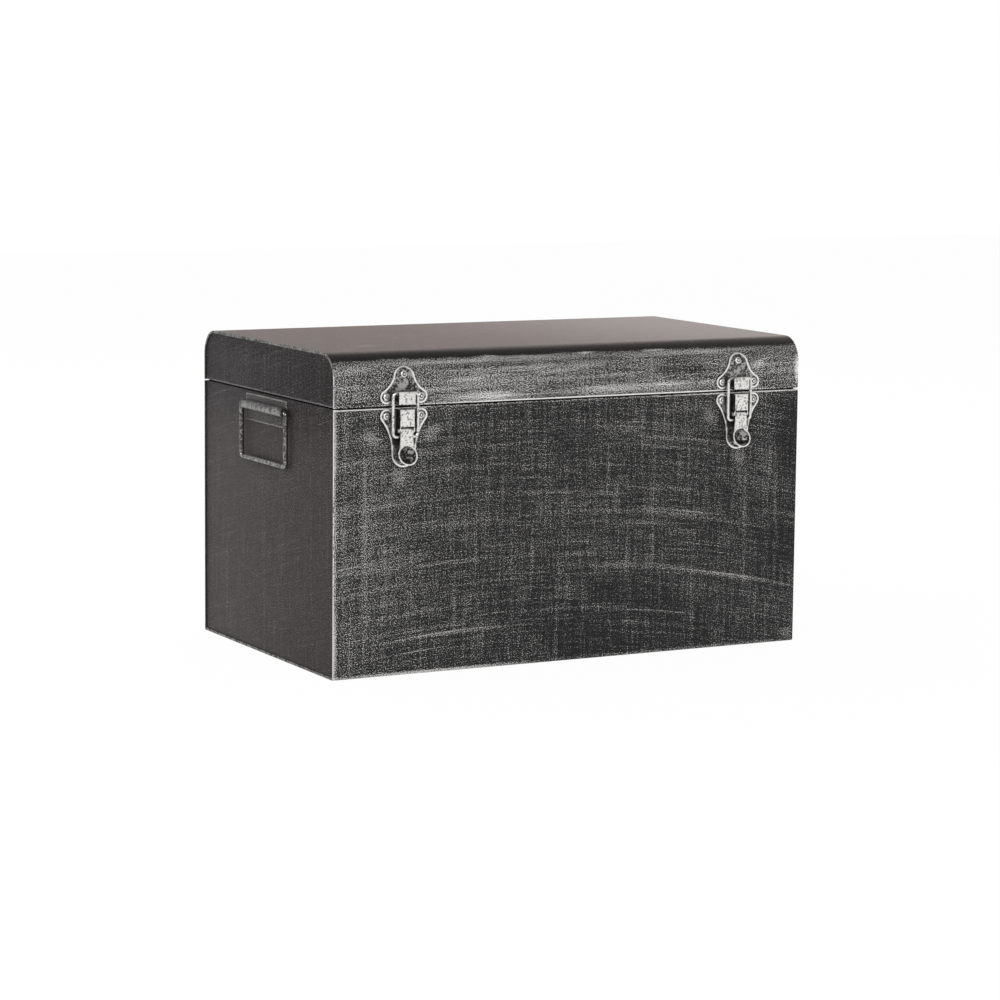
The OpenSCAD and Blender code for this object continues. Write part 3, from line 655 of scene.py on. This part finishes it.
paint = blended(tree, between(tree, at["Z"], *END_DARKENS), END_PAINT, LID_END_PAINT)
rubbed_paint(tree, bare, specks, paint, END_STEEL, matt=0.5, gloss=0.08)

for side in ("left", "right"):
    for body, bend, top, inner_point in END_SHEETS:
        work = copied(f"{body}_end_{side}")
        strips = ease_edges(work, END_EASE)
        sheet_map(work, bend, top)
        dress_sheet(work, inner_point, strips)
        finished(work, f"{body}_end_panel_{side}", body, "end_sheet", f"{body}_end_{side}",
                 end_paint, edge_paint, inside_paint)


# Collar: a strip of thin steel welded inside the body's hem and stepped in above it,
# left in dull dark paint darkened further as painted shade, so the seam reads as a black line.
COLLAR_DARK = (0.007, 0.007, 0.007, 1)
COLLAR_LIGHT = (0.011, 0.011, 0.011, 1)
FINE_EASE = 0.0002
collar_shade_paint, tree = new_material("collar_painted_shade")
peel = grain(tree, on_piece(tree), PAINT_PEEL, detail=2)
bump = add(tree, "Bump", Strength=0.2, Distance=0.0002, Height=peel).outputs[0]
shader = add(tree, "BsdfPrincipled", Base_Color=blended(tree, peel, COLLAR_DARK, COLLAR_LIGHT),
             Normal=bump, Specular_IOR_Level=0.08,
             Roughness=plus(tree, times(tree, peel, 0.1), 0.75))
show(tree, shader.outputs[0])
work = copied("body_collar")
ease_edges(work, FINE_EASE)
finished(work, "inner_collar", "body", "inner_sheet", "body_collar", collar_shade_paint)


# Hinges: two butt hinges of thick steel riveted to the back with their pins outside,
# blackened with the trunk and worn bright on the knuckles' edges.
HINGE_EASE = 0.00025
FINE_BLOTS = 620
HAIRLINES = (900, 900, 60)


def worn_metal(name, dark, bright, share, rough, dents=0.25, dent_scale=420, blot_scale=220,
               shadow=None, tone=None):
    """Antiqued steel: bright metal under dark wax, which stays in the dents; a shadow, where
    given, is painted shade over it.
    """
    material, tree = new_material(name)
    place = on_piece(tree)
    blots = plus(tree, times(tree, grain(tree, place, blot_scale, detail=4, roughness=0.65), 0.6),
                 times(tree, grain(tree, place, FINE_BLOTS, detail=2), 0.4))
    shown = minus(tree, plus(tree, between(tree, blots, *CHIP_NOISE), share), 1.0)
    if tone:
        shown = plus(tree, shown, tone(tree, place))
    bare = between(tree, shown, -0.25, 0.25)
    if shadow:
        bare = times(tree, bare, shadow(tree, place))
    pits = add(tree, "TexVoronoi", Vector=place, Scale=dent_scale).outputs["Distance"]
    hairlines = grain(tree, place, 1, HAIRLINES, 3, 0.6)
    relief = plus(tree, times(tree, pits, 0.7), times(tree, hairlines, 0.3))
    bump = add(tree, "Bump", Strength=dents, Distance=0.0004, Height=relief).outputs[0]
    uneven = [times(tree, hairlines, 0.14), times(tree, bare, -0.08), rough]
    shader = add(tree, "BsdfPrincipled", Base_Color=blended(tree, bare, dark, bright),
                 Metallic=plus(tree, times(tree, bare, 0.5), 0.5),
                 Roughness=summed(tree, uneven), Normal=bump, Specular_IOR_Level=0.3)
    show(tree, shader.outputs[0])
    return material


hinge_steel = worn_metal("blackened_hinge_steel", (0.030, 0.029, 0.029, 1),
                         (0.17, 0.165, 0.16, 1), share=0.22, rough=0.42, blot_scale=380)
hinge_edge = worn_metal("hinge_edge_steel", (0.05, 0.048, 0.047, 1),
                        (0.55, 0.54, 0.52, 1), share=0.55, rough=0.36)
for side in ("left", "right"):
    for node, body in ((f"hinge_body_leaf_{side}", "body"), (f"hinge_lid_leaf_{side}", "lid"),
                       (f"hinge_pin_{side}", "body")):
        work = copied(node)
        for face in ease_edges(work, HINGE_EASE):
            face.material_index = 1
        finished(work, node + "_eased", body, "hinge_steel", node, hinge_steel, hinge_edge)


# Latch plates: one on the lid with the hook turned out of it, one on the body with the
# pressed housing of the lever. Pressed steel with a raised rim, dipped dark and then
# brushed, so rims, hook and housing are silver and the flat of the plates stays grey.
# Sides of hook and housing that turn away are near-black as painted shade.
LATCH_X = 0.18
SEAM_Z = 0.25
PLATE_FACE = -0.1512
RIM_WIDE = 0.0016
RIM_HIGH = 0.00018
LATCH_EASE = 0.00028
# The lid's rounding, and how far from its middle line the plate's face begins
ROUND_AXIS = Vector((0, -0.126, 0.276))
ROUND_FACE = 0.02505
FACE_WITHIN = 2e-5
FACES_FRONT = 0.99
# Hook and housing: in front of this y and below this z
RAISED_Y = PLATE_FACE - 0.0003
HOOK_TOP = 0.2645
FLAT, RIM, RAISED, RAISED_EDGE, SHADED_SIDE = range(5)
# Painted shade behind the loop, across and up from its middle: where it ends
LOOP_Z = -0.0105
LOOP_SIDES = (0.0112, 0.0138)
LOOP_ENDS = (0.0225, 0.0260)
# Where the brush went over the plates, measured from the latch's middle and the seam
PLATE_RUBS = (
    (-0.001, 0.0195, 0.014, 0.0060, 0.40, 28),
    (0.007, 0.0290, 0.005, 0.0090, 0.35),
    (-0.008, 0.0300, 0.004, 0.0080, 0.30),
    (0.014, -0.0210, 0.006, 0.0160, 0.30, -15),
    (-0.013, -0.0330, 0.005, 0.0140, 0.20, 12),
)
BRUSH_SLANT = math.radians(-28)
BRUSH_STREAKS = (90, 900, 1)


def latch_place(tree, place):
    """Places on a latch, both latches alike: across from its middle, up from the seam."""
    at = split(tree, place)
    outwards = minus(tree, maths(tree, "ABSOLUTE", at["X"]), LATCH_X)
    across = times(tree, outwards, maths(tree, "SIGN", at["X"]))
    return add(tree, "CombineXYZ", X=across, Y=minus(tree, at["Z"], SEAM_Z)).outputs[0]


def shade_behind_loop(tree, place):
    """Painted shade where the loop and the hook stand in front of the plate."""
    at = split(tree, latch_place(tree, place))
    beside = between(tree, maths(tree, "ABSOLUTE", at["X"]), *LOOP_SIDES)
    from_middle = maths(tree, "ABSOLUTE", minus(tree, at["Y"], LOOP_Z))
    return higher(tree, beside, between(tree, from_middle, *LOOP_ENDS))


def brushed_bands(tree, place):
    """Lighter bands where the brush went over the plates."""
    local = latch_place(tree, place)
    slanted = add(tree, "Mapping", Vector=local, Rotation=(0, 0, BRUSH_SLANT)).outputs[0]
    streaks = grain(tree, slanted, 1, BRUSH_STREAKS, 3, 0.6)
    return summed(tree, rubs(tree, local, PLATE_RUBS)
                  + [between(tree, streaks, 0.4, 0.68, -0.10, 0.25)])


# Plate and rim are darkened behind the loop as painted shade.
plate_steel = worn_metal("brushed_plate_steel", (0.034, 0.0325, 0.031, 1), (0.40, 0.39, 0.37, 1),
                         share=0.30, rough=0.42, dents=0.2, dent_scale=500,
                         shadow=shade_behind_loop, tone=brushed_bands)
rim_steel = worn_metal("rubbed_rim_steel", (0.16, 0.155, 0.15, 1), (0.84, 0.83, 0.80, 1),
                       share=1.02, rough=0.34, dents=0.2, dent_scale=500, shadow=shade_behind_loop)
silver_steel = worn_metal("hammered_silver_steel", (0.26, 0.255, 0.245, 1),
                          (0.82, 0.81, 0.78, 1), share=0.74, rough=0.34, dents=0.7,
                          dent_scale=560, blot_scale=420)
silver_edge = worn_metal("silver_edge_steel", (0.30, 0.29, 0.28, 1), (0.86, 0.85, 0.82, 1),
                         share=0.95, rough=0.3, dents=0.2, dent_scale=500)
# Near-black steel: painted shade on the sides of hook, housing and lever, and dark wax in the
# rivets' rings.
shade_and_wax_steel = worn_metal("painted_shade_and_wax_steel", (0.010, 0.010, 0.010, 1), (0.12, 0.115, 0.11, 1),
                          share=0.04, rough=0.5)


def press_rim(work, fronts, width, drop):
    """Leaves a raised rim of the given width round the plate's face and gives it back."""
    ring = bmesh.ops.inset_region(work, faces=fronts, thickness=width,
                                  use_even_offset=False, use_boundary=True)
    bmesh.ops.inset_region(work, faces=fronts, thickness=drop, depth=-drop,
                           use_even_offset=False, use_boundary=True)
    return ring["faces"]


def on_plate_face(face):
    """Whether the face lies on the plate's front, flat or where it follows the rounding."""
    middle = face.calc_center_median()
    if middle.z < ROUND_AXIS.z:
        return face.normal.y < -FACES_FRONT and abs(middle.y - PLATE_FACE) < FACE_WITHIN
    away = Vector((0, middle.y - ROUND_AXIS.y, middle.z - ROUND_AXIS.z))
    return face.normal.dot(away.normalized()) > FACES_FRONT and away.length > ROUND_FACE


for side in ("left", "right"):
    for node, body in ((f"latch_keeper_{side}", "lid"), (f"latch_base_{side}", "body")):
        work = copied(node)
        fronts = [face for face in work.faces if on_plate_face(face)]
        for face in press_rim(work, fronts, RIM_WIDE, RIM_HIGH):
            face.material_index = RIM
        for face in work.faces:
            middle = face.calc_center_median()
            if middle.y < RAISED_Y and middle.z < HOOK_TOP:
                # Faces turned sideways or back take the near-black steel as painted shade.
                seen_side = abs(face.normal.x) < 0.5 and face.normal.y < 0.3
                face.material_index = RAISED if seen_side else SHADED_SIDE
        for face in ease_edges(work, LATCH_EASE):
            if face.material_index in (FLAT, RIM):
                face.material_index = RIM
            elif face.normal.y < -0.25:
                face.material_index = RAISED_EDGE
        finished(work, node + "_pressed", body, "latch_plate", node,
                 plate_steel, rim_steel, silver_steel, silver_edge, shade_and_wax_steel)


# Latch lever, pin and loop: the lever is a channel of silvered steel ending in a dished
# scoop for the thumb. It turns on a pin in the housing and carries a loop of hard wire.
# The lever's scoop is dark as painted shade, with painted light high up in it.
SCOOP_CENTRE = Vector((0, -0.1644, 0.2076))
SCOOP_INNER = 0.0100
SCOOP_OPENS = Vector((0, -0.9397, 0.3420))
SCOOP_MIDDLE = Vector((0, -0.1602, 0.2061))
SCOOP_OUTER = 0.0105
CHANNEL_FROM = 0.215
LEVER_EDGE, LEVER_SCOOP, LEVER_SIDE = 1, 2, 3
# Painted light and painted shade in the scoop's hollow, placed like the brush's rubs on the
# plates
SCOOP_PAINTED_LIGHT_AND_SHADE = (
    (-0.001, -0.0365, 0.009, 0.0050, 0.45),
    (0.0045, -0.0415, 0.0035, 0.0040, 0.70),
    (0.0, -0.0485, 0.007, 0.0035, -0.3),
)


def scoop_painted_light_and_shade(tree, place):
    """Painted light high up in the scoop's hollow, and painted shade at its foot."""
    return summed(tree, rubs(tree, latch_place(tree, place), SCOOP_PAINTED_LIGHT_AND_SHADE))


shaded_scoop_steel = worn_metal("scoop_painted_shade_steel", (0.012, 0.012, 0.012, 1), (0.34, 0.33, 0.32, 1),
                         share=0.30, rough=0.36, dents=0.3, dent_scale=500, tone=scoop_painted_light_and_shade)
wire_steel = worn_metal("loop_wire_steel", (0.18, 0.175, 0.17, 1), (0.78, 0.77, 0.75, 1),
                        share=0.86, rough=0.28, dents=0.25, dent_scale=700)
for side, x in (("left", -LATCH_X), ("right", LATCH_X)):
    work = copied(f"latch_lever_{side}")
    for face in work.faces:
        middle = face.calc_center_median() - Vector((x, 0, 0))
        inwards = SCOOP_CENTRE - middle
        if inwards.length < SCOOP_INNER and face.normal.dot(inwards.normalized()) > 0.95:
            face.material_index = LEVER_SCOOP
        elif face.normal.dot(SCOOP_OPENS) > 0.97 and (middle - SCOOP_MIDDLE).length < SCOOP_OUTER:
            face.material_index = LEVER_EDGE
        # The channel's sides take the near-black steel as painted shade.
        elif abs(face.normal.x) > 0.6 and middle.z > CHANNEL_FROM:
            face.material_index = LEVER_SIDE
    for face in ease_edges(work, LATCH_EASE):
        if face.normal.y < 0.3:
            face.material_index = LEVER_EDGE
    finished(work, f"lever_{side}_pressed", f"lever_{side}", "latch_bright",
             f"latch_lever_{side}", silver_steel, silver_edge, shaded_scoop_steel, shade_and_wax_steel)
    for node, body, slot in ((f"latch_loop_{side}", f"loop_{side}", "latch_bright"),
                             (f"lever_pin_{side}", "body", "rivet_steel")):
        work = copied(node)
        ease_edges(work, FINE_EASE)
        finished(work, node + "_eased", body, slot, node, wire_steel)


# Rivets: short steel rivets with a ring pressed into each domed head. The head is rubbed
# bright and the dark wax stays in the ring.
RING_TURNS_IN = -math.radians(4)
RIVETS = (
    ("hinge_body_rivets", "body"), ("hinge_lid_rivets", "lid"),
    ("keeper_rivets_left", "lid"), ("keeper_rivets_right", "lid"),
    ("base_rivets_left", "body"), ("base_rivets_right", "body"),
)
rivet_steel = worn_metal("rubbed_rivet_steel", (0.16, 0.155, 0.15, 1), (0.80, 0.79, 0.77, 1),
                         share=0.85, rough=0.32, dents=0.2, dent_scale=600)
for node, body in RIVETS:
    work = copied(node)
    for edge in work.edges:
        if len(edge.link_faces) == 2 and edge.calc_face_angle_signed() < RING_TURNS_IN:
            for face in edge.link_faces:
                face.material_index = 1
    finished(work, node + "_rubbed", body, "rivet_steel", node, rivet_steel, shade_and_wax_steel)


# Handles: a strap of sheet rolled into a barrel round one closed ring of wire, its leaves
# spot-welded to the end. The leaves are painted, with a light line where their edges are
# rubbed, and the barrel and the wire are worn.
BARREL_X = 0.2533
BARREL_Z = 0.2367
BARREL_R = 0.0046
STRAP_EASE = 0.0005
STRAP_PAINT = (0.030, 0.0255, 0.026, 1)
STRAP_STEEL = (0.36, 0.35, 0.345, 1)
LEAF_LOW = 0.2215
LEAF_HIGH = 0.2473
LEAF_HALF = 0.04635
# How far in from the leaf's edges the light line begins, and is full
LINE_BEGINS = 0.0014
LINE_FULL = 0.0008
# Wear of the barrel, with painted light on its lower half, by height and by the way to its ends:
# from, to, value, value
BARREL_LOW_WEAR_AND_LIGHT = (BARREL_Z + 0.0030, BARREL_Z - 0.0020, -0.22, 0.30)
BARREL_END_WEAR = (0.0400, 0.0475, 0.0, -0.45)
# Worn places of the wire, seen from the end: y, z, half width, half height, strength
WIRE_RUBS = (
    (0.000, 0.186, 0.060, 0.006, 0.22),
    (0.051, 0.190, 0.010, 0.012, 0.20),
    (-0.051, 0.190, 0.010, 0.012, 0.30),
)


def barrel_wear_and_light(tree, place):
    """The barrel is lighter on its lower half, partly rubbed and partly painted light, and stays
    dark at its ends.
    """
    at = split(tree, place)
    ends = between(tree, maths(tree, "ABSOLUTE", at["Y"]), *BARREL_END_WEAR)
    return plus(tree, between(tree, at["Z"], *BARREL_LOW_WEAR_AND_LIGHT), ends)


def wire_wear(tree, place):
    """The grip and the corners of the wire are worn more than its legs."""
    at = split(tree, place)
    side_view = add(tree, "CombineXYZ", X=at["Y"], Y=at["Z"]).outputs[0]
    return summed(tree, rubs(tree, side_view, WIRE_RUBS))


barrel_steel = worn_metal("worn_barrel_steel", (0.050, 0.048, 0.047, 1), (0.27, 0.265, 0.26, 1),
                          share=0.46, rough=0.40, dents=0.3, tone=barrel_wear_and_light)
bail_steel = worn_metal("worn_bail_wire", (0.060, 0.058, 0.057, 1), (0.27, 0.265, 0.26, 1),
                        share=0.30, rough=0.24, dents=0.15, dent_scale=520, tone=wire_wear)
strap_edge = worn_metal("strap_edge_steel", (0.06, 0.058, 0.057, 1), (0.50, 0.49, 0.48, 1),
                        share=0.75, rough=0.38)

strap_paint, tree = new_material("strap_leaf_paint")
sheet = on_sheet(tree)
at = split(tree, on_piece(tree))
foot_line = between(tree, at["Z"], LEAF_LOW + LINE_BEGINS, LEAF_LOW + LINE_FULL)
head_line = between(tree, at["Z"], LEAF_HIGH - LINE_BEGINS, LEAF_HIGH - LINE_FULL)
end_line = between(tree, maths(tree, "ABSOLUTE", at["Y"]),
                   LEAF_HALF - LINE_BEGINS, LEAF_HALF - LINE_FULL)
lines = higher(tree, higher(tree, foot_line, head_line), end_line)
cover = plus(tree, times(tree, lines, 0.55), -0.04)
bare, specks = bare_share(tree, sheet, sheet, cover, level=0.10, upright=0.12, soft=0.34)
rubbed_paint(tree, bare, specks, STRAP_PAINT, STRAP_STEEL, matt=0.48, gloss=0.12)

for side, way in (("left", -1), ("right", 1)):
    work = copied(f"handle_strap_{side}")
    layer = work.loops.layers.uv.new("sheet")
    for face in work.faces:
        middle = face.calc_center_median()
        from_barrel = Vector((abs(middle.x) - BARREL_X, middle.z - BARREL_Z))
        face.material_index = 1 if from_barrel.length < BARREL_R else 0
        for loop in face.loops:
            loop[layer].uv = (loop.vert.co.y + ENDS_MAPPED_AT * way, loop.vert.co.z)
    for face in ease_edges(work, STRAP_EASE):
        face.material_index = 2
    finished(work, f"handle_strap_{side}_rolled", "body", "handle_steel",
             f"handle_strap_{side}", strap_paint, barrel_steel, strap_edge)
    finished(copied(f"handle_bail_{side}"), f"handle_bail_{side}_wire", f"bail_{side}",
             "handle_steel", f"handle_bail_{side}", bail_steel)
